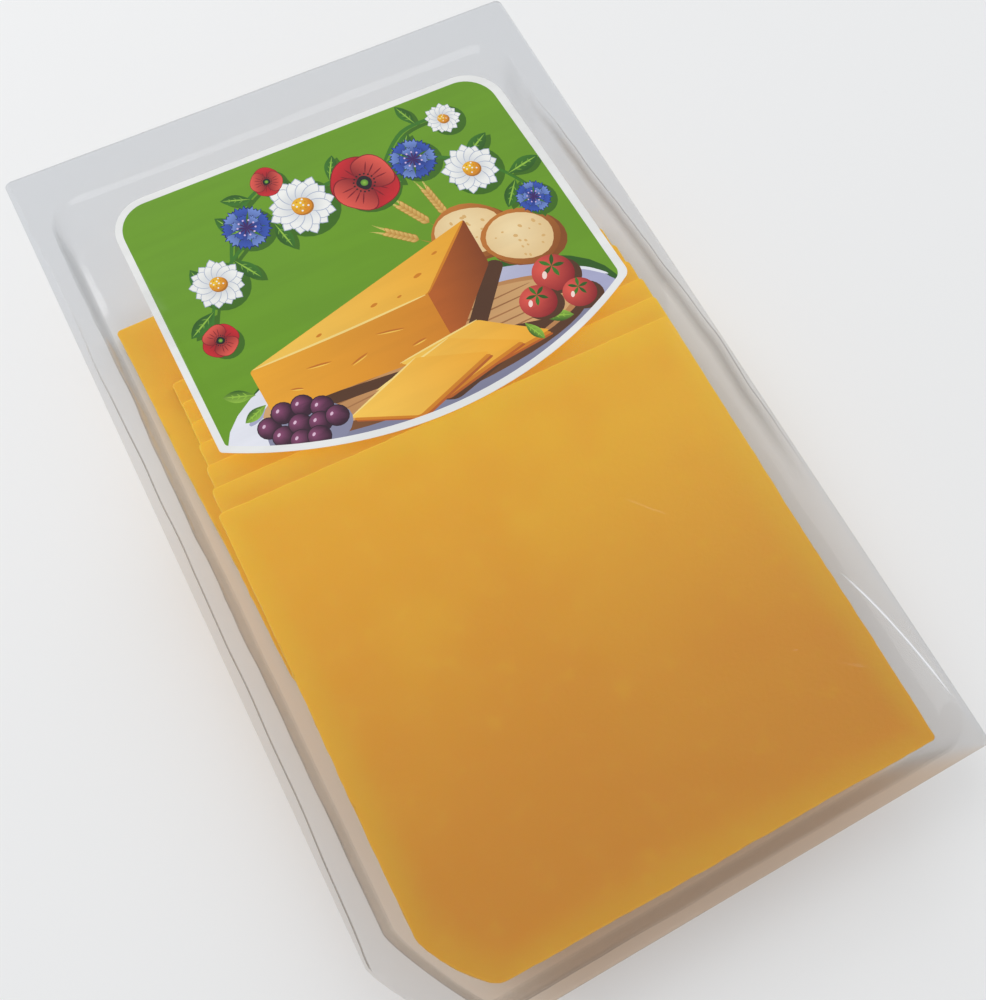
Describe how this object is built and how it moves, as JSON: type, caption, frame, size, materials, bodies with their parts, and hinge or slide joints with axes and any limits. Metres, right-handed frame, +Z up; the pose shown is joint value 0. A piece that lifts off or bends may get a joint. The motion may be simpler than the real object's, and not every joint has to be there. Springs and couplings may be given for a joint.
{
  "type": "pack of sliced cheese",
  "caption": "Clear sealed tray pack with a shingled stack of square cheddar slices under a clear film, and a printed label with an arched lower edge.",
  "frame": {"origin": "centre of the pack's outline in plan, on the underside of the tray's floor", "axes": "+Z up out of the film, +Y towards the end with the label, +X to the right seen from above with the label end away"},
  "size_m": [0.127, 0.207, 0.0191],
  "materials": {
    "clear_tray": "gloss",
    "clear_film": "gloss",
    "label_print": "satin",
    "cheddar": "satin"
  },
  "bodies": {
    "root": {"tray": "clear_tray", "lid_film": "clear_film", "label": "label_print", "slice_1": "cheddar", "slice_2": "cheddar", "slice_3": "cheddar", "slice_4": "cheddar", "slice_5": "cheddar", "slice_6": "cheddar", "slice_7": "cheddar", "slice_8": "cheddar"}
  },
  "joints": []
}
